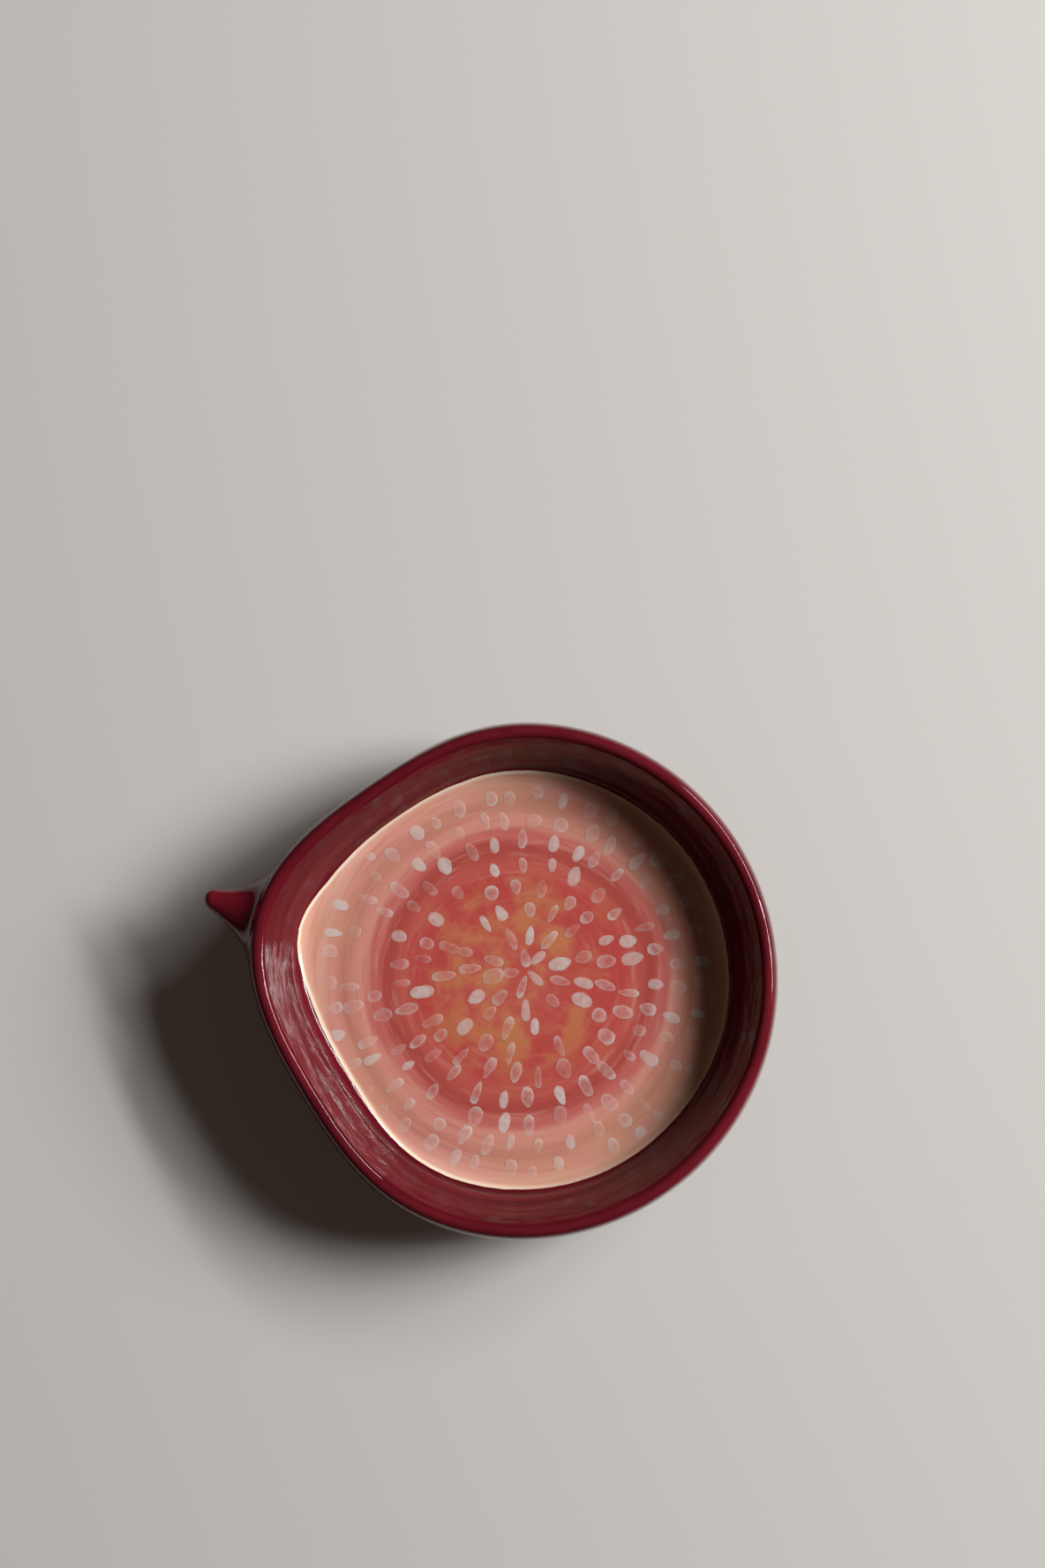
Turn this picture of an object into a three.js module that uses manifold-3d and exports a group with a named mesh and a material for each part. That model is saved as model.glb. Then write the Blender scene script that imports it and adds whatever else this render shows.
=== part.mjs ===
// A glazed ceramic dish in the shape of a fig cut in half, fired as one piece.
// Millimetres, +Z up. The foot ring stands on Z = 0 and the stem points along -X.
// The origin is under the middle of the whole dish, stem included.
import * as THREE from "three";
import { mergeVertices } from "three/addons/utils/BufferGeometryUtils.js";
import Module from "manifold-3d";

// Driving dimensions.
const BELLY_RADIUS = 59; // the wall at its widest, seen from above
const LIP_INSET = 1; // the lip's outer edge stands this far inside the belly
const LIP_THICKNESS = 3.6;
const HEIGHT = 27.5;
const FLOOR_LEVEL = 13;
const FLOOR_RADIUS = 48.6; // where the wall would meet the floor without its fillet
const FILLET = 3.2;
const BELLY_LEVEL = 18.5;
const WALL_FOOT_RADIUS = 49.7; // where the inner wall meets the fillet

// Handles of the curves that the wall follows, as radius and height.
const UNDERSIDE_HANDLE = [45, 4.8];
const BELLY_HANDLE = [58.5, 9.5];
const SHOULDER_HANDLE = [59, 23];
const INNER_WALL_HANDLE = [51.2, 19];

const FOOT_OUTER_RADIUS = 34;
const FOOT_LAND = 3.2; // width of the flat ring that the dish stands on
const FOOT_CHAMFER = 0.7;
const FOOT_HEIGHT = 4;
const RECESS_DEPTH = 5;
const RECESS_FILLET = 2;

// The fig's outline: a circle with two flattened shoulders and a soft point at the stem.
const POINT_RISE = 3.8;
const SHOULDER_DIP = 2.9;
const SHOULDER_ANGLE = THREE.MathUtils.degToRad(43); // from the stem's side
const OUTLINE_SPREAD = THREE.MathUtils.degToRad(17);
const FLOOR_SHARE = 0.85; // how much of the outline's pull is left at the floor

const STEM_ANGLE = THREE.MathUtils.degToRad(177); // it leaves the wall a little off the axis
const STEM_TIP_REACH = 74; // from the middle of the bowl
const STEM_ROOT_REACH = 58.5; // inside the wall
const STEM_LEVEL = 20.4;
const STEM_LIFT = 1.6; // the tip stands this much higher than the root
const STEM_TIP_RADIUS = 2.5;
const STEM_ROOT_RADIUS = 7.8;
const STEM_FLATNESS = 0.8; // its height as a share of its width
const STEM_SWELL = 2.5; // how far its flare toward the root bows out
const STEM_SWELL_AT = 0.45; // along the cone

const TURN_STEPS = 72;
const CURVE_STEPS = 5;
const STEM_STEPS = 24;

// A smooth bump of height 1, centred on zero.
function bump(offset, spread) {
  return Math.exp(-0.5 * (offset / spread) ** 2);
}

// How far the fig's outline leaves the circle at a given angle.
function outlinePull(angle) {
  const fromStem = Math.PI - Math.abs(angle);
  const rise = POINT_RISE * bump(fromStem, OUTLINE_SPREAD);
  const dip = SHOULDER_DIP * bump(fromStem - SHOULDER_ANGLE, OUTLINE_SPREAD);
  return rise - dip;
}

// Half the dish's cross-section, from the underside's middle round to the floor's middle.
function dishProfile() {
  const landInner = FOOT_OUTER_RADIUS - FOOT_CHAMFER - FOOT_LAND;
  const recessRadius = landInner - FOOT_CHAMFER;
  const lipRadius = LIP_THICKNESS / 2;
  const lipMiddle = BELLY_RADIUS - LIP_INSET - lipRadius;
  const lipLevel = HEIGHT - lipRadius;
  const path = new THREE.Path();
  path.moveTo(0, RECESS_DEPTH);
  path.lineTo(recessRadius - RECESS_FILLET, RECESS_DEPTH);
  path.quadraticCurveTo(recessRadius, RECESS_DEPTH, recessRadius, RECESS_DEPTH - RECESS_FILLET);
  path.lineTo(recessRadius, FOOT_CHAMFER);
  path.lineTo(landInner, 0);
  path.lineTo(FOOT_OUTER_RADIUS - FOOT_CHAMFER, 0);
  path.lineTo(FOOT_OUTER_RADIUS, FOOT_CHAMFER);
  path.lineTo(FOOT_OUTER_RADIUS, FOOT_HEIGHT - FOOT_CHAMFER);
  path.lineTo(FOOT_OUTER_RADIUS + FOOT_CHAMFER, FOOT_HEIGHT);
  path.bezierCurveTo(...UNDERSIDE_HANDLE, ...BELLY_HANDLE, BELLY_RADIUS, BELLY_LEVEL);
  path.quadraticCurveTo(...SHOULDER_HANDLE, lipMiddle + lipRadius, lipLevel);
  path.absarc(lipMiddle, lipLevel, lipRadius, 0, Math.PI, false);
  path.quadraticCurveTo(...INNER_WALL_HANDLE, WALL_FOOT_RADIUS, FLOOR_LEVEL + FILLET);
  path.quadraticCurveTo(FLOOR_RADIUS, FLOOR_LEVEL, FLOOR_RADIUS - FILLET, FLOOR_LEVEL);
  path.lineTo(0, FLOOR_LEVEL);
  return path.getPoints(CURVE_STEPS);
}

// The share of the outline's pull that a point of the cross-section takes.
function pullShare(radius) {
  const byWall = THREE.MathUtils.smoothstep(radius, FOOT_OUTER_RADIUS, FLOOR_RADIUS);
  const byLip = THREE.MathUtils.smoothstep(radius, FLOOR_RADIUS, BELLY_RADIUS);
  return FLOOR_SHARE * byWall + (1 - FLOOR_SHARE) * byLip;
}

function bowlGeometry() {
  const bowl = new THREE.LatheGeometry(dishProfile(), TURN_STEPS);
  bowl.rotateX(Math.PI / 2);
  const point = bowl.attributes.position;
  for (let i = 0; i < point.count; i += 1) {
    const radius = Math.hypot(point.getX(i), point.getY(i));
    if (radius < FOOT_OUTER_RADIUS) continue;
    const angle = Math.atan2(point.getY(i), point.getX(i));
    const pulled = radius + pullShare(radius) * outlinePull(angle);
    point.setX(i, pulled * Math.cos(angle));
    point.setY(i, pulled * Math.sin(angle));
  }
  return bowl;
}

// The stem: a stub that swells into the wall, with a rounded end.
function stemGeometry() {
  const length = STEM_TIP_REACH - STEM_ROOT_REACH;
  const coneLength = length - STEM_TIP_RADIUS;
  const profile = new THREE.Path();
  profile.moveTo(0, 0);
  profile.lineTo(STEM_ROOT_RADIUS, 0);
  const swell = [STEM_TIP_RADIUS + STEM_SWELL, coneLength * STEM_SWELL_AT];
  profile.quadraticCurveTo(...swell, STEM_TIP_RADIUS, coneLength);
  profile.absarc(0, coneLength, STEM_TIP_RADIUS, 0, Math.PI / 2, false);
  const stem = new THREE.LatheGeometry(profile.getPoints(CURVE_STEPS), STEM_STEPS);
  stem.scale(1, 1, STEM_FLATNESS);
  const point = stem.attributes.position;
  for (let i = 0; i < point.count; i += 1) {
    const along = point.getY(i) / length;
    point.setZ(i, point.getZ(i) + STEM_LIFT * along ** 2);
  }
  stem.translate(0, STEM_ROOT_REACH, STEM_LEVEL);
  stem.rotateZ(STEM_ANGLE - Math.PI / 2);
  return stem;
}

function toSolid(wasm, geometry) {
  geometry.deleteAttribute("normal");
  geometry.deleteAttribute("uv");
  const merged = mergeVertices(geometry, 1e-4);
  const mesh = new wasm.Mesh({
    numProp: 3,
    vertProperties: merged.attributes.position.array,
    triVerts: new Uint32Array(merged.index.array),
  });
  return new wasm.Manifold(mesh);
}

function toGeometry(solid) {
  const mesh = solid.getMesh();
  const geometry = new THREE.BufferGeometry();
  geometry.setAttribute("position", new THREE.BufferAttribute(mesh.vertProperties, 3));
  geometry.setIndex(new THREE.BufferAttribute(mesh.triVerts, 1));
  geometry.computeVertexNormals();
  return geometry;
}

const wasm = await Module();
wasm.setup();

const bowl = toSolid(wasm, bowlGeometry());
const stem = toSolid(wasm, stemGeometry());
const dish = toGeometry(bowl.add(stem));
dish.computeBoundingBox();
const middle = dish.boundingBox.getCenter(new THREE.Vector3());
dish.translate(-middle.x, -middle.y, 0);

const glaze = new THREE.MeshStandardMaterial({ color: 0x6e1a33, roughness: 0.15, metalness: 0 });
const figDish = new THREE.Mesh(dish, glaze);
figDish.name = "fig_dish";

const group = new THREE.Group();
group.add(figDish);

export default group;
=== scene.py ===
import math

import bpy
import numpy as np
from mathutils import Matrix, Vector


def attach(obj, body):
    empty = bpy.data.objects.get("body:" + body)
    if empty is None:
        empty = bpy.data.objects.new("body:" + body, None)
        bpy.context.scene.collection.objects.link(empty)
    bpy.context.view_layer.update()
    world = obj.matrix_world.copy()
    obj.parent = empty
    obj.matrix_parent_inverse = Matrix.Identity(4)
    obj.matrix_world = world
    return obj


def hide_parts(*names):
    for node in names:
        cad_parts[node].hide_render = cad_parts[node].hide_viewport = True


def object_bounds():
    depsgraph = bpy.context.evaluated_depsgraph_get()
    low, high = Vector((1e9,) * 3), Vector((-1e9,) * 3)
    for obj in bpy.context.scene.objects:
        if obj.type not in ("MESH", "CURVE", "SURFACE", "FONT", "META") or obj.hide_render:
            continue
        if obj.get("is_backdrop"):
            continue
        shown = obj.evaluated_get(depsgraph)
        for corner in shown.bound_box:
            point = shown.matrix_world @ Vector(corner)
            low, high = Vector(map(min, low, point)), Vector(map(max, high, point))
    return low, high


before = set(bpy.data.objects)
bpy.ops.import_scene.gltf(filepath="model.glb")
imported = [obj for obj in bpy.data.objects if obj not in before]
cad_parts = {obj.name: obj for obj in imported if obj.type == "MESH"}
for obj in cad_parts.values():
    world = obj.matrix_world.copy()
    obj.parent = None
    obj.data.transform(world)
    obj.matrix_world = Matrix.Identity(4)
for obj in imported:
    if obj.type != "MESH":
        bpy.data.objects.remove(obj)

# A glazed earthenware dish shaped like a fig cut in half. Sizes are in millimetres, and mm() makes them metres.
low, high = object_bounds()


def mm(value):
    return value / 1000


def srgb(hexColour):
    # sRGB hex to the linear values that Blender's sockets take
    channels = [int(hexColour[i:i + 2], 16) / 255 for i in (1, 3, 5)]
    return tuple(c / 12.92 if c <= 0.04045 else ((c + 0.055) / 1.055) ** 2.4 for c in channels) + (1.0,)


def addNode(tree, kind, settings=None, **links):
    # One node with its settings. A link's key is the socket's name, or inN for the Nth input.
    node = tree.nodes.new(kind)
    for name, value in (settings or {}).items():
        setattr(node, name, value)
    for key, value in links.items():
        numbered = key.startswith("in") and key[2:].isdigit()
        socket = node.inputs[int(key[2:]) if numbered else key.replace("_", " ")]
        if isinstance(value, bpy.types.NodeSocket):
            tree.links.new(value, socket)
        else:
            socket.default_value = value
    return node


def ramp(tree, factor, stops):
    # A colour ramp from a list of place and hex colour
    node = addNode(tree, "ShaderNodeValToRGB", in0=factor)
    node.color_ramp.interpolation = "EASE"
    elements = node.color_ramp.elements
    while len(elements) < len(stops):
        elements.new(0.5)
    for element, (place, colour) in zip(elements, stops):
        element.position = place
        element.color = srgb(colour)
    return node.outputs["Color"]


bowl = {
    "bellyRadius": 59.0,
    "lipInset": 1.0,
    "lipThickness": 3.6,
    "height": 27.5,
    "floorLevel": 13.0,
    "floorRadius": 48.6,
    "fillet": 3.2,
    "bellyLevel": 18.5,
    "lipFrom": 19,       # degrees round the lip where the outside runs into it
    "lipTo": 154.5,      # and where it runs into the inner wall
    "wallFootRadius": 49.7,
    "undersideHandle": (45, 4.8),    # the curves' handles: distance out and height
    "bellyHandle": (58.5, 9.5),
    "shoulderHandle": (59, 23),
    "innerHandle": (51.2, 19),
    "footRadius": 34.0,
    "footLand": 3.2,
    "footEdge": 0.7,
    "footHeight": 4.0,
    "recessDepth": 5.0,
    "recessFillet": 2.0,
    "skin": 0.12,        # the fine surface stays this far inside the solid
    "wobble": 0.12,      # how far the hand-shaped wall strays
    "throwRidge": 0.04,  # height of the turning marks
    "innerRidge": 0.07,
    "floorRidge": 0.012,
    "columns": 330,
    "stemColumns": 70,
}
outline = {"rise": 3.8, "dip": 2.9, "shoulder": 43, "spread": 17, "floorShare": 0.85}
stem = {
    "angle": 178.4,       # degrees round from +X
    "level": 20.6,
    "length": 11.3,      # out from the wall
    "width": 23.0,       # of the flare where it runs into the wall
    "height": 13.0,
    "tipRadius": 2.5,
    "lift": 1.6,
    "bend": 1.3,         # how far the tip turns aside
    "plump": 0.45,       # how much taller than the flare's own shape the tip is
}
centreX = high.x * 1000 - bowl["bellyRadius"]


def bump(offset, spread):
    return np.exp(-0.5 * (offset / spread) ** 2)


def outlinePull(angle):
    # how far the fig's outline leaves the circle, in millimetres
    fromStem = math.pi - np.abs(np.arctan2(np.sin(angle), np.cos(angle)))
    spread = math.radians(outline["spread"])
    rise = outline["rise"] * bump(fromStem, spread)
    dip = outline["dip"] * bump(fromStem - math.radians(outline["shoulder"]), spread)
    return rise - dip


def smoothstep(value, start, end):
    t = np.clip((value - start) / (end - start), 0, 1)
    return t * t * (3 - 2 * t)


def pullShare(radius):
    # the foot is round, the floor follows most of the outline and the lip all of it
    wall = smoothstep(radius, bowl["footRadius"], bowl["floorRadius"])
    lip = smoothstep(radius, bowl["floorRadius"], bowl["bellyRadius"])
    return outline["floorShare"] * wall + (1 - outline["floorShare"]) * lip


def line(start, end, count):
    t = np.linspace(0, 1, count, endpoint=False)[:, None]
    return np.array(start) * (1 - t) + np.array(end) * t


def curve(points, count):
    # a quadratic or cubic Bezier stretch
    t = np.linspace(0, 1, count, endpoint=False)[:, None]
    order = len(points) - 1
    return sum(math.comb(order, i) * t ** i * (1 - t) ** (order - i) * np.array(point)
               for i, point in enumerate(points))


def arc(middle, radius, start, end, count, whole=False):
    t = np.radians(np.linspace(start, end, count, endpoint=whole))
    return np.stack([middle[0] + radius * np.cos(t), middle[1] + radius * np.sin(t)], 1)


def dishProfile():
    # half the cross-section, from the underside's middle round to the floor's middle, in named stretches
    b = bowl
    foot, edge, lipR = b["footRadius"], b["footEdge"], b["lipThickness"] / 2
    landInner = foot - edge - b["footLand"]
    recess = landInner - edge
    lipMiddle = np.array([b["bellyRadius"] - b["lipInset"] - lipR, b["height"] - lipR])
    outerLip, innerLip = arc(lipMiddle, lipR, b["lipFrom"], b["lipTo"], 2, True)
    top = b["recessDepth"]
    belly = (b["bellyRadius"], b["bellyLevel"])
    wallFoot = (b["wallFootRadius"], b["floorLevel"] + b["fillet"])
    floorRim = (b["floorRadius"] - b["fillet"], b["floorLevel"])
    neck = (foot, b["footHeight"] - edge)
    stretches = {
        "underside": [
            line((0, top), (recess - b["recessFillet"], top), 10),
            curve([(recess - b["recessFillet"], top), (recess, top), (recess, top - b["recessFillet"])], 6),
            line((recess, top - b["recessFillet"]), (recess, edge), 3),
            curve([(recess, edge), (recess, 0), (landInner, 0)], 4),
            line((landInner, 0), (foot - edge, 0), 5),
            curve([(foot - edge, 0), (foot, 0), (foot, edge)], 4),
            line((foot, edge), neck, 4),
            curve([neck, (foot, b["footHeight"]), (foot + edge, b["footHeight"])], 4),
        ],
        "outside": [
            curve([(foot + edge, b["footHeight"]), b["undersideHandle"], b["bellyHandle"], belly], 56),
            curve([belly, b["shoulderHandle"], outerLip], 26),
        ],
        "lip": [arc(lipMiddle, lipR, b["lipFrom"], b["lipTo"], 20)],
        "inside": [
            curve([innerLip, b["innerHandle"], wallFoot], 20),
            curve([wallFoot, (b["floorRadius"], b["floorLevel"]), floorRim], 14),
            line(floorRim, (0, b["floorLevel"]), 30),
        ],
    }
    rows, names = [], []
    for name, parts in stretches.items():
        points = np.concatenate(parts)
        rows.append(points)
        names += [name] * len(points)
    rows.append(np.array([[0, b["floorLevel"]]]))
    names.append("inside")
    return np.concatenate(rows), np.array(names)


def columnAngles():
    # evenly round the dish, with the columns drawn together where the stem is pulled out of the wall
    stemAt = math.radians(stem["angle"])
    reach = math.radians(10)
    around = np.linspace(stemAt + reach, stemAt + 2 * math.pi - reach, bowl["columns"], endpoint=False)
    close = np.linspace(stemAt - reach, stemAt + reach, bowl["stemColumns"], endpoint=False)
    return np.concatenate([around, close])


def handMade(angle, height, seed):
    # slow waves round the wall, from 0 to 1: no random draw, so each run gives the same dish
    waves = sum(np.sin(angle * n + seed * n * 1.7 + height * 0.05 * n) / n for n in (2, 3, 5, 8))
    return 0.5 + 0.25 * waves


def placeOnWall(profile, along, angle):
    # a point of the outside from its distance along the profile and its angle
    steps = np.hypot(*np.diff(profile, axis=0).T)
    distance = np.concatenate([[0], np.cumsum(steps)])
    radius = np.interp(along, distance, profile[:, 0])
    height = np.interp(along, distance, profile[:, 1])
    radius = radius + pullShare(radius) * outlinePull(angle)
    return radius * np.cos(angle), radius * np.sin(angle), height


def stemSection(rho):
    # the stem's side from the wall, rho 1, to its tip, rho 0: share of the flare's size and reach outwards
    length, tip = stem["length"], stem["tipRadius"]
    halfWidth = stem["width"] / 2
    t = np.clip((1 - rho) / 0.72, 0, 1)
    flare = [halfWidth, halfWidth * 0.62, tip + 2.1, tip]
    reach = [0, 0.5, length * 0.32, length - tip]
    weight = [math.comb(3, i) * t ** i * (1 - t) ** (3 - i) for i in range(4)]
    radius = sum(w * v for w, v in zip(weight, flare))
    out = sum(w * v for w, v in zip(weight, reach))
    turn = np.clip((0.28 - rho) / 0.28, 0, 1) * math.pi / 2
    atTip = rho < 0.28
    radius = np.where(atTip, tip * np.cos(turn), radius)
    out = np.where(atTip, length - tip + tip * np.sin(turn), out)
    return radius / halfWidth, out


def pullStem(profile, along, angle, x, y, z):
    # draws the stem out of the wall's own surface, so that it runs into the wall with no seam
    stemAt = math.radians(stem["angle"])
    outside = np.concatenate([[0], np.cumsum(np.hypot(*np.diff(profile, axis=0).T))])
    belly = np.argmax(profile[:, 0] >= bowl["bellyRadius"] - 1e-6)
    climb = outside[belly] + stem["level"] - bowl["bellyLevel"]
    wallRadius = bowl["bellyRadius"] + outline["rise"]
    offAngle = np.arctan2(np.sin(angle - stemAt), np.cos(angle - stemAt))
    across = offAngle * wallRadius / (stem["width"] / 2)
    up = (along - climb) / (stem["height"] / 2)
    rho = np.hypot(across, up)
    near = rho < 1
    share, out = stemSection(rho[near])
    scale = share / np.maximum(rho[near], 1e-6)
    newAngle = stemAt + offAngle[near] * scale
    tipShare = out / stem["length"]
    newAlong = climb + (along[near] - climb) * scale * (1 + stem["plump"] * tipShare)
    px, py, pz = placeOnWall(profile, newAlong, newAngle)
    x[near] = px + out * math.cos(stemAt)
    y[near] = py + out * math.sin(stemAt) + stem["bend"] * tipShare ** 2
    z[near] = pz + stem["lift"] * tipShare ** 2
    return x, y, z


def makeDish():
    profile, names = dishProfile()
    angles = columnAngles()
    along = np.concatenate([[0], np.cumsum(np.hypot(*np.diff(profile, axis=0).T))])
    radiusRow, heightRow = profile[:, 0], profile[:, 1]
    angle, radius = np.meshgrid(angles, radiusRow)
    height = np.repeat(heightRow[:, None], len(angles), 1)
    distance = np.repeat(along[:, None], len(angles), 1)
    zone = np.repeat(names[:, None], len(angles), 1)
    pulled = radius + pullShare(radius) * outlinePull(angle)
    # the wall's hand-made unevenness, always inwards from the outline
    outer = (zone == "outside") | (zone == "lip")
    wallShare = smoothstep(height, bowl["footHeight"] + 2, bowl["bellyLevel"] - 2)
    ridge = bowl["throwRidge"] * (0.5 + 0.5 * np.sin(height * 1.9 + 0.6 * np.sin(angle * 2)))
    outerStray = bowl["skin"] + (bowl["wobble"] * handMade(angle, height, 1) + ridge) * wallShare
    innerRidge = np.sin(height * 0.95 + 1.1 * np.sin(angle * 2 + 1) + 0.7 * np.sin(angle * 5))
    innerStray = bowl["innerRidge"] * innerRidge + bowl["wobble"] * handMade(angle, height, 2)
    innerStray = innerStray * smoothstep(height, bowl["floorLevel"] + 1, bowl["floorLevel"] + 4)
    lipShare = smoothstep(height, bowl["bellyLevel"] + 1, bowl["height"] - bowl["lipThickness"] / 2)
    innerStray = innerStray + (outerStray - innerStray) * lipShare
    pulled = pulled - np.where(outer, outerStray, np.where(zone == "inside", innerStray, 0))
    topShare = smoothstep(height, bowl["bellyLevel"] + 3, bowl["height"])
    height = height - topShare * (0.05 + 0.3 * handMade(angle, 0 * height, 3))
    # the floor lies a hair uneven, as a brushed and turned surface does
    onFloor = (zone == "inside") * smoothstep(bowl["floorRadius"] - radius, 0, 6)
    turned = np.sin(radius * 1.15 + 0.7 * np.sin(angle * 2)) * smoothstep(radius, 1, 8)
    height = height + onFloor * bowl["floorRidge"] * turned
    x, y, z = pulled * np.cos(angle), pulled * np.sin(angle), height.copy()
    isOutside = outer & (radius > bowl["footRadius"] + 4)
    sx, sy, sz = pullStem(profile, np.where(isOutside, distance, -1e3), angle, x.copy(), y.copy(), z.copy())
    x, y, z = np.where(isOutside, sx, x), np.where(isOutside, sy, y), np.where(isOutside, sz, z)
    x = x + centreX
    # rows become rings of faces; the first and last rows close to single points
    rows, columns = x.shape
    ring = np.stack([x, y, z], 2)[1:-1].reshape(-1, 3)
    poles = np.array([[centreX, 0, heightRow[0]], [centreX, 0, heightRow[-1]]])
    points = np.concatenate([ring, poles]) / 1000
    inner = rows - 2
    grid = np.arange(inner * columns).reshape(inner, columns)
    right = np.roll(grid, -1, 1)
    quads = np.stack([grid[:-1], right[:-1], right[1:], grid[1:]], 2).reshape(-1, 4)
    underPole, floorPole = inner * columns, inner * columns + 1
    fans = [(underPole, b, a) for a, b in zip(grid[0], right[0])]
    fans += [(floorPole, a, b) for a, b in zip(grid[-1], right[-1])]
    mesh = bpy.data.meshes.new("glazed_dish")
    mesh.from_pydata(points.tolist(), [], quads.tolist() + fans)
    mesh.polygons.foreach_set("use_smooth", [True] * len(mesh.polygons))
    # millimetres inside the painted floor's edge, and inside the bare land of the foot
    edge = floorEdge(angle)
    climb = (height - bowl["floorLevel"]) * 0.8
    inFloor = np.where(zone == "inside", edge - pulled - climb, -20.0)
    landMiddle = bowl["footRadius"] - bowl["footEdge"] - bowl["footLand"] / 2
    bare = bowl["footLand"] / 2 + 0.9 - np.abs(radius - landMiddle) - np.maximum(height - 0.9, 0) * 4
    bare = np.where(zone == "underside", bare, -20.0)
    for name, values, ends in (("floorPaint", inFloor, (-20.0, 40.0)), ("bareClay", bare, (-20.0, -20.0))):
        attribute = mesh.attributes.new(name, "FLOAT", "POINT")
        attribute.data.foreach_set("value", np.concatenate([values[1:-1].ravel(), ends]).astype(np.float32))
    mesh.validate()
    mesh.update()
    dish = bpy.data.objects.new("glazed_dish", mesh)
    bpy.context.scene.collection.objects.link(dish)
    return dish


def floorEdge(angle):
    # the hand-painted line between flesh and skin: it keeps closer to the stem's corner than the wall does
    fromStem = math.pi - np.abs(np.arctan2(np.sin(angle), np.cos(angle)))
    corner = 3.9 * bump(fromStem, math.radians(9)) + 1.0 * bump(fromStem, math.radians(22))
    flat = np.where(np.sin(angle) < 0, 3.4, 1.2) * bump(fromStem - math.radians(43), math.radians(19))
    wave = 0.2 * np.sin(angle * 3 + 0.8) + 0.12 * np.sin(angle * 7 + 2)
    return paint["edgeRadius"] + corner - flat + wave


paint = {
    "ringWander": 2.2,    # mm that the brushed rings stray
    "brushStray": 4.0,    # mm that the brush's hairs stray
    "rings": [            # distance from the middle in mm, and colour
        (0.0, "#CA6858"), (12.0, "#C86054"), (18.0, "#C4564E"), (23.0, "#C24E4A"), (26.5, "#C65C54"),
        (30.5, "#B65049"), (33.5, "#CC6E66"), (36.6, "#DE9686"), (40.6, "#CC8778"), (43.6, "#E09A8C"),
        (47.0, "#EAB09C"),
    ],
    "edgeRadius": 48.9,
    # a cream painted edge line, lightened as a painted highlight where the glaze pools in the fillet
    "edgeLineAndGlint": "#FBE8CC",
    "edgeWidth": 0.8,
    "palePass": "#E4AC98",
    "darkPass": "#AE504A",
    "blotch": "#CB8656",
    "blotchRed": "#BC4440",
    "buff": "#D29C74",
}
glaze = {
    "burgundy": "#6B1522",
    "deep": "#560F1A",
    "worn": "#7C2630",      # where it runs thin over the lip, and a painted highlight along the lip's crest
    "roughness": 0.09,
    "ior": 1.45,
    "coat": 0.05,           # a trace of a second, sharper skin
    "coatRoughness": 0.03,
    "streak": 1.3,          # mm between brush streaks
    "relief": 0.3,          # share of the full unevenness on the walls
}
clay = {"colour": "#C9B39A", "speck": "#9C8468", "roughness": 0.85, "grain": 0.35}
slip = {"colour": "#DBD3CD", "roughness": 0.2, "ior": 1.5}


def polarPlace(tree):
    # place in mm from the bowl's middle, its parts, the distance out, and a vector with no seam round the bowl
    place = addNode(tree, "ShaderNodeTexCoord").outputs["Object"]
    centred = addNode(tree, "ShaderNodeMapping", in0=place, in1=(-centreX, 0, 0), in3=(1000, 1000, 1000))
    centred = centred.outputs["Vector"]
    parts = addNode(tree, "ShaderNodeSeparateXYZ", in0=centred).outputs
    flat = addNode(tree, "ShaderNodeCombineXYZ", in0=parts["X"], in1=parts["Y"]).outputs[0]
    radius = addNode(tree, "ShaderNodeVectorMath", {"operation": "LENGTH"}, in0=flat).outputs["Value"]
    spread = math2(tree, "DIVIDE", 1.0, math2(tree, "MAXIMUM", radius, 14.0))   # no pinch at the middle
    around = addNode(tree, "ShaderNodeVectorMath", {"operation": "SCALE"}, in0=flat, in3=spread)
    return centred, parts, radius, around.outputs["Vector"]


def math2(tree, operation, a, b=0.0, clamp=False):
    node = addNode(tree, "ShaderNodeMath", {"operation": operation, "use_clamp": clamp}, in0=a, in1=b)
    return node.outputs[0]


def mixColour(tree, factor, a, b):
    node = addNode(tree, "ShaderNodeMix", {"data_type": "RGBA"}, in0=factor, in6=a, in7=b)
    return node.outputs[2]


def mapRange(tree, value, fromLow, fromHigh, toLow=0.0, toHigh=1.0):
    node = addNode(tree, "ShaderNodeMapRange", {"interpolation_type": "SMOOTHSTEP"},
                   in0=value, in1=fromLow, in2=fromHigh, in3=toLow, in4=toHigh)
    return node.outputs[0]


def streaks(tree, around, across, aroundScale, acrossScale, detail=3.0, distortion=0.0):
    # noise drawn out along the brush's path round the dish
    direction = addNode(tree, "ShaderNodeVectorMath", {"operation": "SCALE"}, in0=around, in3=aroundScale)
    parts = addNode(tree, "ShaderNodeSeparateXYZ", in0=direction.outputs["Vector"]).outputs
    third = math2(tree, "MULTIPLY", across, acrossScale)
    vector = addNode(tree, "ShaderNodeCombineXYZ", in0=parts["X"], in1=parts["Y"], in2=third).outputs[0]
    noise = addNode(tree, "ShaderNodeTexNoise", Vector=vector, Scale=1.0, Detail=detail,
                    Roughness=0.55, Distortion=distortion)
    return noise.outputs["Fac"]


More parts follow.
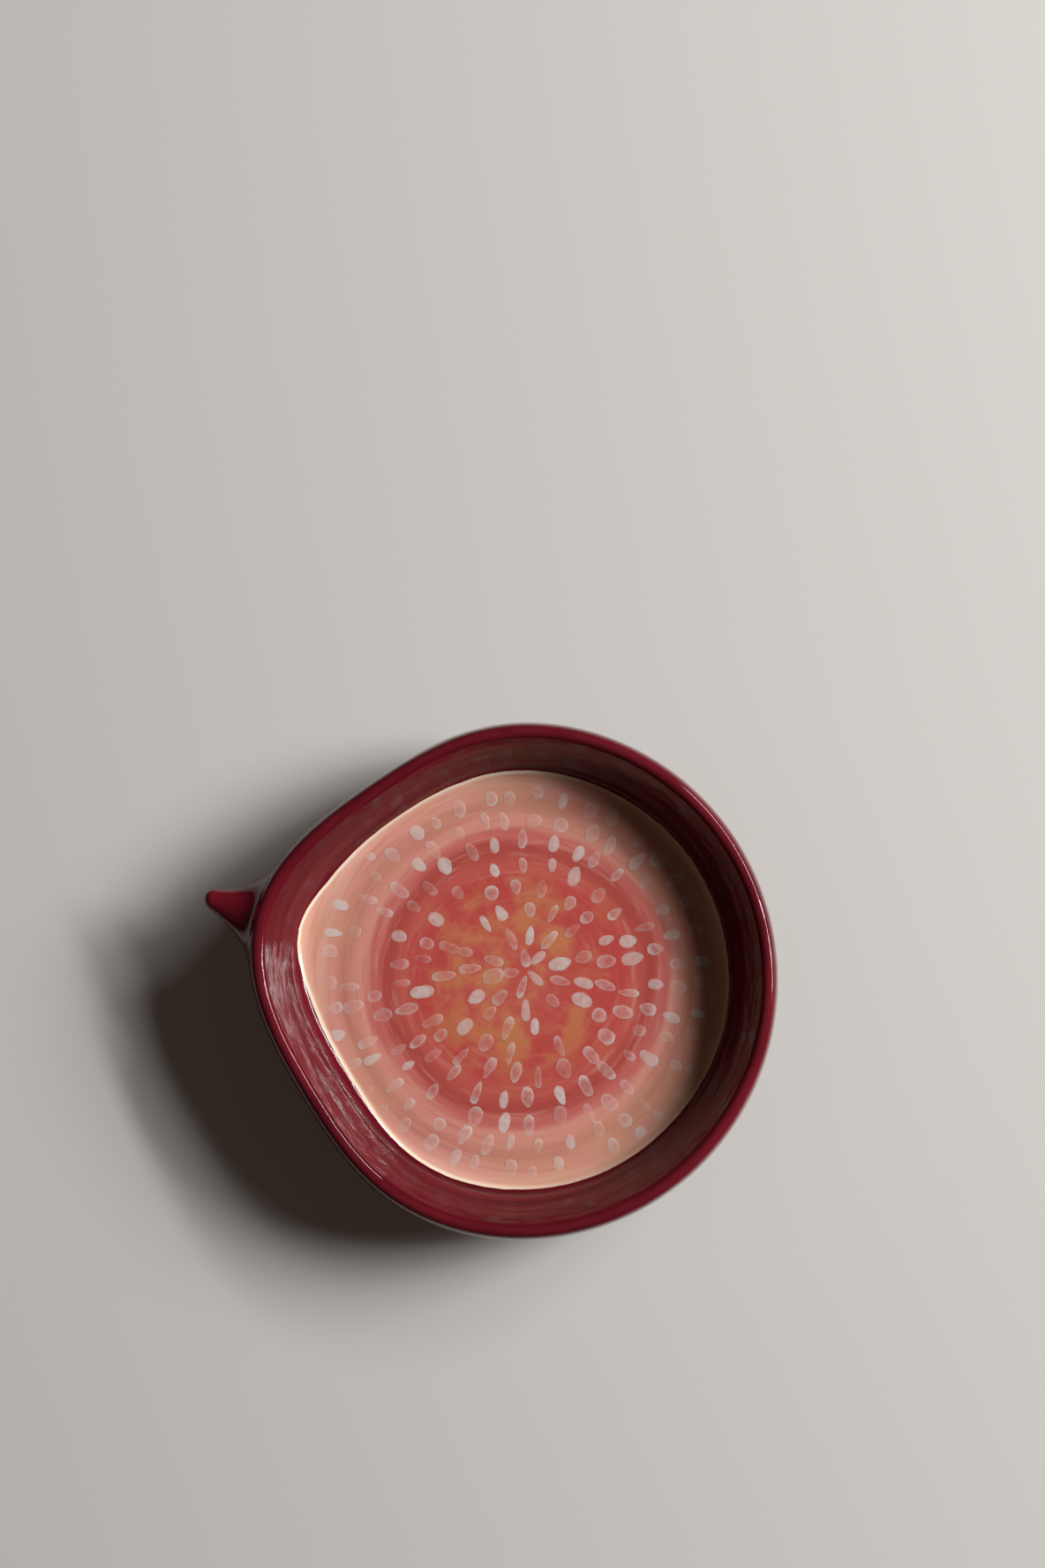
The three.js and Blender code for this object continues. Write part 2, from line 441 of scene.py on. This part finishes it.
def fleshColour(tree, centred, radius, around):
    # brushed rings of salmon, buff and coral round an orange middle
    wander = addNode(tree, "ShaderNodeTexNoise", Vector=centred, Scale=0.045, Detail=2.0).outputs["Fac"]
    stray = math2(tree, "MULTIPLY", math2(tree, "SUBTRACT", wander, 0.5), paint["ringWander"] * 2)
    fine = streaks(tree, around, radius, 1.6, 0.4, 2.0)
    hairs = math2(tree, "SUBTRACT", fine, 0.5)
    hairs = math2(tree, "MULTIPLY", hairs, mapRange(tree, radius, 8.0, 30.0, 0.2, 1.0))
    stray = math2(tree, "ADD", stray, math2(tree, "MULTIPLY", hairs, paint["brushStray"]))
    place = math2(tree, "DIVIDE", math2(tree, "ADD", radius, stray), 50.0)
    colour = ramp(tree, place, [(distance / 50, shade) for distance, shade in paint["rings"]])
    brush = streaks(tree, around, radius, 2.4, 0.8, 2.0, 0.3)
    outer = mapRange(tree, radius, 8.0, 32.0, 0.12, 1.0)
    pale = math2(tree, "MULTIPLY", mapRange(tree, brush, 0.5, 0.78, 0, 0.34), outer)
    dark = math2(tree, "MULTIPLY", mapRange(tree, brush, 0.5, 0.26, 0, 0.26), outer)
    colour = mixColour(tree, pale, colour, srgb(paint["palePass"]))
    colour = mixColour(tree, dark, colour, srgb(paint["darkPass"]))
    blot = addNode(tree, "ShaderNodeTexNoise", Vector=centred, Scale=0.12, Detail=3.0, Roughness=0.6)
    blot = blot.outputs["Fac"]
    middle = mapRange(tree, radius, 31.0, 12.0)
    orange = math2(tree, "MULTIPLY", mapRange(tree, blot, 0.42, 0.62, 0, 0.72), middle)
    red = math2(tree, "MULTIPLY", mapRange(tree, blot, 0.5, 0.36, 0, 0.5), middle)
    outerBand = mapRange(tree, radius, 34.0, 42.0)
    buff = math2(tree, "MULTIPLY", mapRange(tree, wander, 0.46, 0.64, 0, 0.36), outerBand)
    colour = mixColour(tree, buff, colour, srgb(paint["buff"]))
    colour = mixColour(tree, orange, colour, srgb(paint["blotch"]))
    return mixColour(tree, red, colour, srgb(paint["blotchRed"]))


def glazedDishMaterial():
    # clear-glazed earthenware, brushed with burgundy underglaze and with fig-flesh rings on the floor: the eye
    # sees smooth wet gloss, streaks along the brush's path, and dry buff clay where the foot was wiped
    material = bpy.data.materials.new("burgundy_glazed_earthenware")
    material.use_nodes = True
    tree = material.node_tree
    tree.nodes.clear()
    centred, parts, radius, around = polarPlace(tree)
    climb = math2(tree, "ADD", parts["Z"], math2(tree, "MULTIPLY", radius, 0.4))
    # burgundy, darker and paler along the brush
    coarse = streaks(tree, around, climb, 1.3, 0.35, 3.0, 0.4)
    fine = streaks(tree, around, climb, 3.2, 1 / glaze["streak"], 4.0, 0.2)
    skin = mixColour(tree, mapRange(tree, coarse, 0.35, 0.65), srgb(glaze["deep"]), srgb(glaze["burgundy"]))
    skin = mixColour(tree, mapRange(tree, fine, 0.5, 0.75, 0, 0.2), skin, srgb(glaze["worn"]))
    # the top of the lip is painted paler: partly where the glaze runs thin, partly a painted highlight where
    # light catches the crest
    crestThinAndSheen = mapRange(tree, parts["Z"], bowl["height"] - 0.7, bowl["height"] - 0.1, 0, 0.35)
    crestThinAndSheen = math2(tree, "MULTIPLY", crestThinAndSheen, mapRange(tree, fine, 0.3, 0.62, 0.35, 1.0))
    skin = mixColour(tree, crestThinAndSheen, skin, srgb(glaze["worn"]))
    # the painted floor and its ivory edge
    flesh = fleshColour(tree, centred, radius, around)
    inside = addNode(tree, "ShaderNodeAttribute", {"attribute_name": "floorPaint"}).outputs["Fac"]
    ragged = addNode(tree, "ShaderNodeTexNoise", Vector=centred, Scale=0.3, Detail=2.0).outputs["Fac"]
    inside = math2(tree, "ADD", inside, math2(tree, "MULTIPLY", math2(tree, "SUBTRACT", ragged, 0.5), 0.5))
    edgeLineGlint = mapRange(tree, inside, paint["edgeWidth"] * 0.7, paint["edgeWidth"] * 1.9, 0.95, 0.0)
    # painted highlight: the cream edge line is made brighter towards the stem's side, where the light falls on
    # the fillet, and fainter on the far, shaded side
    edgeLineGlint = math2(tree, "MULTIPLY", edgeLineGlint, mapRange(tree, parts["X"], -15.0, 30.0, 1.0, 0.35))
    flesh = mixColour(tree, edgeLineGlint, flesh, srgb(paint["edgeLineAndGlint"]))
    isFloor = mapRange(tree, inside, -0.12, 0.12)
    colour = mixColour(tree, isFloor, skin, flesh)
    # bare clay on the foot's land
    bare = addNode(tree, "ShaderNodeAttribute", {"attribute_name": "bareClay"}).outputs["Fac"]
    grain = addNode(tree, "ShaderNodeTexNoise", Vector=centred, Scale=1 / clay["grain"], Detail=2.0)
    grain = grain.outputs["Fac"]
    bare = math2(tree, "ADD", bare, math2(tree, "MULTIPLY", math2(tree, "SUBTRACT", ragged, 0.5), 0.8))
    isClay = mapRange(tree, bare, -0.1, 0.15)
    biscuit = mixColour(tree, mapRange(tree, grain, 0.58, 0.7), srgb(clay["colour"]), srgb(clay["speck"]))
    colour = mixColour(tree, isClay, colour, biscuit)
    # the gloss breaks up a little where the glaze is thin or was brushed twice
    smear = mapRange(tree, coarse, 0.3, 0.7, glaze["roughness"] * 0.6, glaze["roughness"] * 1.5)
    roughness = addNode(tree, "ShaderNodeMix", {"data_type": "FLOAT"}, in0=isClay, in2=smear,
                        in3=clay["roughness"])
    # glaze pools and ridges follow the brush, and clay has its own grain
    ridges = addNode(tree, "ShaderNodeBump", Strength=0.15, Distance=mm(0.08), Height=fine)
    slow = streaks(tree, around, climb, 6.0, 0.24, 1.0, 0.6)
    relief = mapRange(tree, isFloor, 0.0, 1.0, glaze["relief"], glaze["relief"] * 0.15)
    pools = addNode(tree, "ShaderNodeBump", Strength=relief, Distance=mm(0.7), Height=slow,
                    Normal=ridges.outputs[0])
    grainStrength = math2(tree, "MULTIPLY", isClay, 0.6)
    bumped = addNode(tree, "ShaderNodeBump", Strength=grainStrength, Distance=mm(0.15), Height=grain,
                     Normal=pools.outputs[0])
    shader = addNode(tree, "ShaderNodeBsdfPrincipled", Base_Color=colour, Roughness=roughness.outputs[0],
                     IOR=glaze["ior"], Normal=bumped.outputs[0])
    shader.inputs["Coat Weight"].default_value = glaze["coat"]
    shader.inputs["Coat Roughness"].default_value = glaze["coatRoughness"]
    addNode(tree, "ShaderNodeOutputMaterial", Surface=shader.outputs[0])
    return material


def slipDabMaterial():
    # lilac-white slip dabbed on with a round brush and glazed over: some dabs cover, and most let the flesh
    # through in their middle and keep a denser line where the slip ran to the dab's edge
    material = bpy.data.materials.new("white_slip_dabs")
    material.use_nodes = True
    tree = material.node_tree
    tree.nodes.clear()
    centred, parts, radius, around = polarPlace(tree)
    flesh = fleshColour(tree, centred, radius, around)
    own = addNode(tree, "ShaderNodeAttribute", {"attribute_name": "dabPlace"}).outputs["Vector"]
    cover = addNode(tree, "ShaderNodeAttribute", {"attribute_name": "dabCover"}).outputs["Fac"]
    ownParts = addNode(tree, "ShaderNodeSeparateXYZ", in0=own).outputs
    # a dab's own height runs from 1 at its middle down to its edge
    fromMiddle = math2(tree, "SQRT", math2(tree, "SUBTRACT", 1.0, math2(tree, "POWER", ownParts["Z"], 2.0)))
    outlineShare = mapRange(tree, fromMiddle, 0.5, 0.92)
    blob = mapRange(tree, ownParts["X"], 0.1, 0.9)
    patch = addNode(tree, "ShaderNodeTexNoise", Vector=centred, Scale=0.7, Detail=2.0).outputs["Fac"]
    thin = math2(tree, "MULTIPLY", outlineShare, 0.18)
    thin = math2(tree, "ADD", thin, math2(tree, "MULTIPLY", blob, 0.16))
    thin = math2(tree, "ADD", thin, mapRange(tree, patch, 0.3, 0.7, 0.07, 0.2))
    weak = addNode(tree, "ShaderNodeAttribute", {"attribute_name": "dabWash"}).outputs["Fac"]
    thin = math2(tree, "MULTIPLY", thin, weak)
    dense = math2(tree, "MULTIPLY", cover, mapRange(tree, fromMiddle, 0.97, 0.72, 0.4, 1.0))
    dense = math2(tree, "MULTIPLY", dense, mapRange(tree, patch, 0.3, 0.65, 0.75, 1.05))
    amount = math2(tree, "MAXIMUM", thin, dense, clamp=True)
    colour = mixColour(tree, amount, flesh, srgb(slip["colour"]))
    shader = addNode(tree, "ShaderNodeBsdfPrincipled", Base_Color=colour, Roughness=slip["roughness"],
                     IOR=slip["ior"])
    shader.inputs["Coat Weight"].default_value = glaze["coat"]
    shader.inputs["Coat Roughness"].default_value = glaze["coatRoughness"]
    addNode(tree, "ShaderNodeOutputMaterial", Surface=shader.outputs[0])
    return material


seeds = {
    "perRing": 5,        # the Nth ring has N times as many dabs
    "rings": 9,
    "ringStep": 5.3,     # mm
    "length": 5.15,      # mm, of a full-sized dab
    "width": 3.45,
    "thickness": 0.12,
    "sink": 0.085,       # mm below the floor's surface
    "stray": 0.8,        # mm off its ring
    "missing": 0.07,     # share of the places left empty
    "covering": 0.27,    # share of the dabs that hide the flesh
    "middle": (1.2, 2.2),   # mm that the painted rings sit off the bowl's middle
    "shapes": {"dabOval": 0.0, "dabEgg": 0.35, "dabPear": 0.6, "dabDrop": 0.85},   # and how far each tapers
    "seed": 11,
}


def makeDabMesh(name, taper):
    # one brush dab of unit size, low and rounded: taper 0 is an oval, 1 a drop with its point at -X
    segments = 13
    rises = [math.radians(degrees) for degrees in (-50, 14, 26, 48)]   # close where it leaves the floor
    points, faces = [], []
    for rise in rises:
        for i in range(segments):
            turn = 2 * math.pi * i / segments
            x = math.cos(turn) * math.cos(rise)
            narrow = 1 - taper * 0.62 * (0.5 - 0.5 * x) ** 0.8
            points.append((x, math.sin(turn) * math.cos(rise) * narrow, math.sin(rise)))
    for level in range(len(rises) - 1):
        for i in range(segments):
            a, b = level * segments + i, level * segments + (i + 1) % segments
            faces.append((a, b, b + segments, a + segments))
    last = len(points)
    points += [(0, 0, -1), (0, 0, 1)]
    top = (len(rises) - 1) * segments
    for i in range(segments):
        after = (i + 1) % segments
        faces.append((last, after, i))
        faces.append((last + 1, top + i, top + after))
    mesh = bpy.data.meshes.new(name)
    mesh.from_pydata(points, [], faces)
    mesh.polygons.foreach_set("use_smooth", [True] * len(faces))
    return bpy.data.objects.new(name, mesh)


def seedTree(dabs, material):
    # Geometry Nodes: dabs in rings round the bowl's middle, each turned along its radius
    tree = bpy.data.node_groups.new("seedRings", "GeometryNodeTree")
    tree.interface.new_socket("Geometry", in_out="INPUT", socket_type="NodeSocketGeometry")
    sockets = {}
    for name in ("Per Ring", "Rings", "Ring Step", "Length", "Width", "Thickness", "Stray", "Seed"):
        kind = "NodeSocketInt" if name in ("Per Ring", "Rings", "Seed") else "NodeSocketFloat"
        sockets[name] = tree.interface.new_socket(name, in_out="INPUT", socket_type=kind).identifier
    tree.interface.new_socket("Geometry", in_out="OUTPUT", socket_type="NodeSocketGeometry")
    given = addNode(tree, "NodeGroupInput").outputs

    def draw(lowest, highest, offset, integer=False):
        # a random value for each dab, from the tree's own seed
        node = addNode(tree, "FunctionNodeRandomValue", {"data_type": "INT" if integer else "FLOAT"})
        first = 4 if integer else 2
        node.inputs[first].default_value = lowest
        node.inputs[first + 1].default_value = highest
        tree.links.new(math2(tree, "ADD", given["Seed"], float(offset)), node.inputs["Seed"])
        return node.outputs[2 if integer else 1]

    # ring N starts after perRing * N * (N - 1) / 2 dabs
    total = math2(tree, "MULTIPLY", given["Rings"], math2(tree, "ADD", given["Rings"], 1.0))
    total = math2(tree, "MULTIPLY", math2(tree, "MULTIPLY", total, 0.5), given["Per Ring"])
    points = addNode(tree, "GeometryNodePoints", Count=total).outputs[0]
    index = addNode(tree, "GeometryNodeInputIndex").outputs[0]
    inner = math2(tree, "DIVIDE", math2(tree, "MULTIPLY", index, 8.0), given["Per Ring"])
    root = math2(tree, "SQRT", math2(tree, "ADD", inner, 1.0005))
    ring = math2(tree, "FLOOR", math2(tree, "MULTIPLY", math2(tree, "ADD", root, 1.0), 0.5))
    before = math2(tree, "MULTIPLY", math2(tree, "MULTIPLY", ring, math2(tree, "SUBTRACT", ring, 1.0)), 0.5)
    before = math2(tree, "MULTIPLY", before, given["Per Ring"])
    place = math2(tree, "SUBTRACT", index, before)
    count = math2(tree, "MULTIPLY", ring, given["Per Ring"])
    jitter = draw(-0.22, 0.22, 1)
    turn = math2(tree, "DIVIDE", math2(tree, "ADD", place, jitter), count)
    turn = math2(tree, "ADD", turn, math2(tree, "MULTIPLY", ring, 0.137))
    angle = math2(tree, "MULTIPLY", turn, 2 * math.pi)
    stray = math2(tree, "MULTIPLY", draw(-1.0, 1.0, 2), given["Stray"])
    distance = math2(tree, "MULTIPLY", math2(tree, "SUBTRACT", ring, 0.38), given["Ring Step"])
    distance = math2(tree, "ADD", distance, stray)
    x = math2(tree, "MULTIPLY", math2(tree, "COSINE", angle), distance)
    y = math2(tree, "MULTIPLY", math2(tree, "SINE", angle), distance)
    x = math2(tree, "ADD", x, mm(centreX + seeds["middle"][0]))
    y = math2(tree, "ADD", y, mm(seeds["middle"][1]))
    level = mm(bowl["floorLevel"] - seeds["sink"] + seeds["thickness"] / 2)
    spot = addNode(tree, "ShaderNodeCombineXYZ", in0=x, in1=y, in2=level).outputs[0]
    placed = addNode(tree, "GeometryNodeSetPosition", Geometry=points, Position=spot).outputs[0]
    kept = math2(tree, "GREATER_THAN", draw(0.0, 1.0, 10), seeds["missing"])
    shapes = addNode(tree, "GeometryNodeJoinGeometry")
    for dab in reversed(dabs):
        source = addNode(tree, "GeometryNodeObjectInfo", {"transform_space": "ORIGINAL"}, Object=dab,
                         As_Instance=False)
        own = addNode(tree, "GeometryNodeInputPosition").outputs[0]
        marked = addNode(tree, "GeometryNodeStoreNamedAttribute",
                         {"data_type": "FLOAT_VECTOR", "domain": "POINT"},
                         Geometry=source.outputs["Geometry"], Name="dabPlace", Value=own)
        single = addNode(tree, "GeometryNodeGeometryToInstance", in0=marked.outputs[0])
        tree.links.new(single.outputs[0], shapes.inputs[0])
    facing = math2(tree, "ADD", angle, math2(tree, "MULTIPLY", draw(0, 1, 3, True), math.pi))
    facing = math2(tree, "ADD", facing, draw(-0.16, 0.16, 4))
    rotation = addNode(tree, "ShaderNodeCombineXYZ", in2=facing).outputs[0]
    # dabs near the edge are smaller and rounder
    outward = math2(tree, "DIVIDE", ring, given["Rings"])
    fade = math2(tree, "SUBTRACT", 1.06, math2(tree, "MULTIPLY", math2(tree, "POWER", outward, 3.0), 0.22))
    long = math2(tree, "MULTIPLY", math2(tree, "MULTIPLY", given["Length"], 0.5), draw(0.68, 1.2, 5))
    long = math2(tree, "MULTIPLY", long, fade)
    wide = math2(tree, "MULTIPLY", math2(tree, "MULTIPLY", given["Width"], 0.5), draw(0.75, 1.22, 6))
    thick = math2(tree, "MULTIPLY", given["Thickness"], 0.5)
    scale = addNode(tree, "ShaderNodeCombineXYZ", in0=long, in1=wide, in2=thick).outputs[0]
    instances = addNode(tree, "GeometryNodeInstanceOnPoints", Points=placed, Selection=kept,
                        Instance=shapes.outputs[0], Pick_Instance=True,
                        Instance_Index=draw(0, len(dabs) - 1, 7, True), Rotation=rotation,
                        Scale=scale).outputs[0]
    # some dabs cover, the rest are thin
    covers = math2(tree, "LESS_THAN", draw(0.0, 1.0, 31), seeds["covering"])
    cover = math2(tree, "MULTIPLY", covers, draw(0.42, 0.82, 32))
    marked = addNode(tree, "GeometryNodeStoreNamedAttribute", {"data_type": "FLOAT", "domain": "INSTANCE"},
                     Geometry=instances, Name="dabCover", Value=cover)
    marked = addNode(tree, "GeometryNodeStoreNamedAttribute", {"data_type": "FLOAT", "domain": "INSTANCE"},
                     Geometry=marked.outputs[0], Name="dabWash", Value=draw(0.55, 1.5, 12))
    realised = addNode(tree, "GeometryNodeRealizeInstances", in0=marked.outputs[0]).outputs[0]
    finished = addNode(tree, "GeometryNodeSetMaterial", Geometry=realised, Material=material).outputs[0]
    addNode(tree, "NodeGroupOutput", in0=finished)
    return tree, sockets


def makeSeeds(material):
    dabs = [makeDabMesh(name, taper) for name, taper in seeds["shapes"].items()]
    tree, sockets = seedTree(dabs, material)
    carrier = bpy.data.objects.new("seedCarrier", bpy.data.meshes.new("seedCarrier"))
    bpy.context.scene.collection.objects.link(carrier)
    modifier = carrier.modifiers.new("seedRings", "NODES")
    modifier.node_group = tree
    values = {
        "Per Ring": seeds["perRing"], "Rings": seeds["rings"], "Ring Step": mm(seeds["ringStep"]),
        "Length": mm(seeds["length"]), "Width": mm(seeds["width"]), "Thickness": mm(seeds["thickness"]),
        "Stray": mm(seeds["stray"]), "Seed": seeds["seed"],
    }
    for name, value in values.items():
        modifier[sockets[name]] = value
    bpy.context.view_layer.update()
    evaluated = carrier.evaluated_get(bpy.context.evaluated_depsgraph_get())
    mesh = bpy.data.meshes.new_from_object(evaluated)
    mesh.name = "painted_seeds"
    painted = bpy.data.objects.new("painted_seeds", mesh)
    bpy.context.scene.collection.objects.link(painted)
    bpy.data.objects.remove(carrier)
    for dab in dabs:
        bpy.data.objects.remove(dab)
    return painted


studio = {
    "floorColour": "#D9D6D1",
    "world": "#F4E4D8",
    "worldStrength": 0.022,
    "keyPower": 21,
    "keySize": (0.6, 0.7),
    "panes": [            # the window's panes: degrees round from the key, power, width and height in metres
        (-13, 2.0, 0.1, 0.5),
        (-2, 2.0, 0.1, 0.5),
        (6, 16, 1.35, 0.1),
    ],
    "keyDistance": 1.7,
    "keyAngle": 30,       # degrees round from +X
    "keyHeight": 34,      # degrees above the floor
    "fillPower": 0.36,
    "fillColour": "#FFD9C2",
    "fillSize": (0.9, 0.9),
    "fillDistance": 1.1,
    "fillAround": 165,    # degrees round from the key
    "fillHeight": 50,
    "floorHalf": 4,       # metres from the floor's middle to its edge
}
view = {
    "turn": 12,           # degrees that the view's right side is turned from +X
    "lens": 50,
    "distance": 0.499,    # above the dish's widest level
    "lean": 5.09,         # degrees that the camera looks past the dish
    "aside": 0.0007,
}


def makeCamera():
    # straight above the dish, leaning a little so that it sits low in the frame
    turn, lean = math.radians(view["turn"]), math.radians(view["lean"])
    right = Vector((math.cos(turn), math.sin(turn), 0))
    ahead = Vector((-math.sin(turn), math.cos(turn), 0))
    up = ahead * math.cos(lean) + Vector((0, 0, math.sin(lean)))
    back = right.cross(up)
    camera = bpy.data.objects.new("camera", bpy.data.cameras.new("camera"))
    bpy.context.scene.collection.objects.link(camera)
    camera.data.lens = view["lens"]
    camera.data.clip_start = 0.01
    place = Vector((mm(centreX), 0, mm(bowl["bellyLevel"]) + view["distance"])) + right * view["aside"]
    camera.matrix_world = Matrix.Translation(place) @ Matrix((right, up, back)).transposed().to_4x4()
    bpy.context.scene.camera = camera


def makeLight(name, power, size, distance, angle, height):
    data = bpy.data.lights.new(name, "AREA")
    data.shape = "RECTANGLE"
    data.energy = power
    data.size, data.size_y = size
    light = bpy.data.objects.new(name, data)
    bpy.context.scene.collection.objects.link(light)
    flat = math.cos(math.radians(height))
    toward = Vector((flat * math.cos(math.radians(angle)), flat * math.sin(math.radians(angle)),
                     math.sin(math.radians(height))))
    light.location = Vector((mm(centreX), 0, 0.02)) + toward * distance
    light.rotation_euler = toward.to_track_quat("Z", "Y").to_euler()
    return light


def makeStudio():
    key = makeLight("keyLight", studio["keyPower"], studio["keySize"], studio["keyDistance"],
                    studio["keyAngle"], studio["keyHeight"])
    fill = makeLight("fillLight", studio["fillPower"], studio["fillSize"], studio["fillDistance"],
                     studio["keyAngle"] + studio["fillAround"], studio["fillHeight"])
    fill.data.color = srgb(studio["fillColour"])[:3]
    for light in (key, fill):
        light.visible_glossy = False   # only the window's panes leave a mirror image in the glaze
    for around, power, width, height in studio["panes"]:
        makeLight("windowPane", power, (width, height), studio["keyDistance"], studio["keyAngle"] + around,
                  studio["keyHeight"])
    world = bpy.data.worlds.new("softRoom")
    world.use_nodes = True
    background = world.node_tree.nodes["Background"]
    background.inputs["Color"].default_value = srgb(studio["world"])
    background.inputs["Strength"].default_value = studio["worldStrength"]
    bpy.context.scene.world = world
    bpy.context.scene.view_settings.view_transform = "Standard"
    mesh = bpy.data.meshes.new("studio_floor")
    half = studio["floorHalf"]
    corners = [(-half, -half, 0), (half, -half, 0), (half, half, 0), (-half, half, 0)]
    mesh.from_pydata(corners, [], [(0, 1, 2, 3)])
    floor = bpy.data.objects.new("studio_floor", mesh)
    bpy.context.scene.collection.objects.link(floor)
    matte = bpy.data.materials.new("matte_paper")   # seamless paper: flat, pale, no gloss
    matte.use_nodes = True
    shader = matte.node_tree.nodes["Principled BSDF"]
    shader.inputs["Base Color"].default_value = srgb(studio["floorColour"])
    shader.inputs["Roughness"].default_value = 0.95
    mesh.materials.append(matte)
    floor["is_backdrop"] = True


print("camera and studio")
makeCamera()
makeStudio()

print("dish")
dish = makeDish()
dish.data.materials.append(glazedDishMaterial())
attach(dish, "root")
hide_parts("fig_dish")

print("painted seeds")
painted = makeSeeds(slipDabMaterial())
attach(painted, "root")

low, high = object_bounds()
print("finish")
